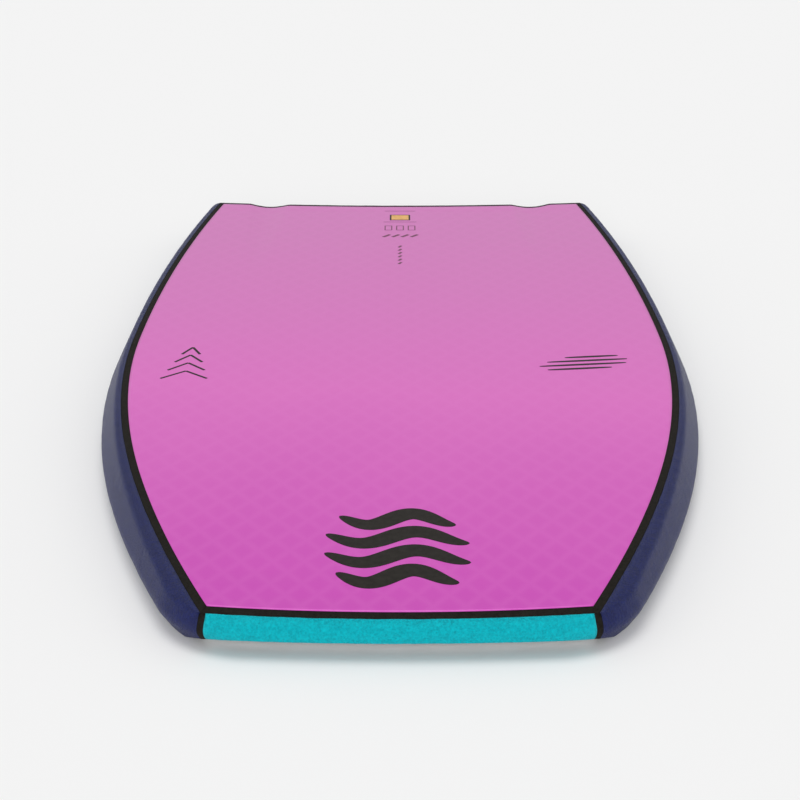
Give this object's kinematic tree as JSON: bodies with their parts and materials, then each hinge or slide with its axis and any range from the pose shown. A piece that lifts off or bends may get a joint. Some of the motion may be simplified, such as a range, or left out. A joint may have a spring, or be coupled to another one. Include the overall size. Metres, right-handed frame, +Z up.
{
  "type": "bodyboard",
  "caption": "Foam bodyboard lying deck side down, with a slick bottom sheet, coloured rails, nose and tail bumpers, a black edge band, two tail channels and a crescent tail.",
  "frame": {"origin": "centre of the bounding box's bottom, on the flat deck side that the board lies on", "axes": "+Z up out of the slick, -Y towards the nose, +Y towards the tail, X across the board"},
  "size_m": [0.574, 1.0671, 0.05],
  "materials": {
    "slick": "satin smooth sheet with a faint diamond net showing through",
    "backing_foam": "closed-cell foam",
    "mesh_net": "plastic net",
    "core_foam": "closed-cell foam",
    "stringer": "fibre tube",
    "plug": "plain",
    "deck_foam": "fine-grained closed-cell foam",
    "band_foam": "closed-cell foam with cut edges",
    "rail_foam": "grained closed-cell foam",
    "bumper_foam": "grained closed-cell foam",
    "print_ink": "flat printed ink on the slick"
  },
  "bodies": {
    "root": {"slick_skin": "slick", "slick_backing": "backing_foam", "slick_mesh": "mesh_net", "foam_core": "core_foam", "stringer_tube": "stringer", "stringer_plug_nose": "plug", "stringer_plug_tail": "plug", "deck_skin": "deck_foam", "band_nose": "band_foam", "band_tail": "band_foam", "band_left": "band_foam", "band_right": "band_foam", "end_band_left": "band_foam", "end_band_right": "band_foam", "rail_left": "rail_foam", "rail_right": "rail_foam", "nose_bumper": "bumper_foam", "tail_bumper": "band_foam"}
  },
  "joints": []
}
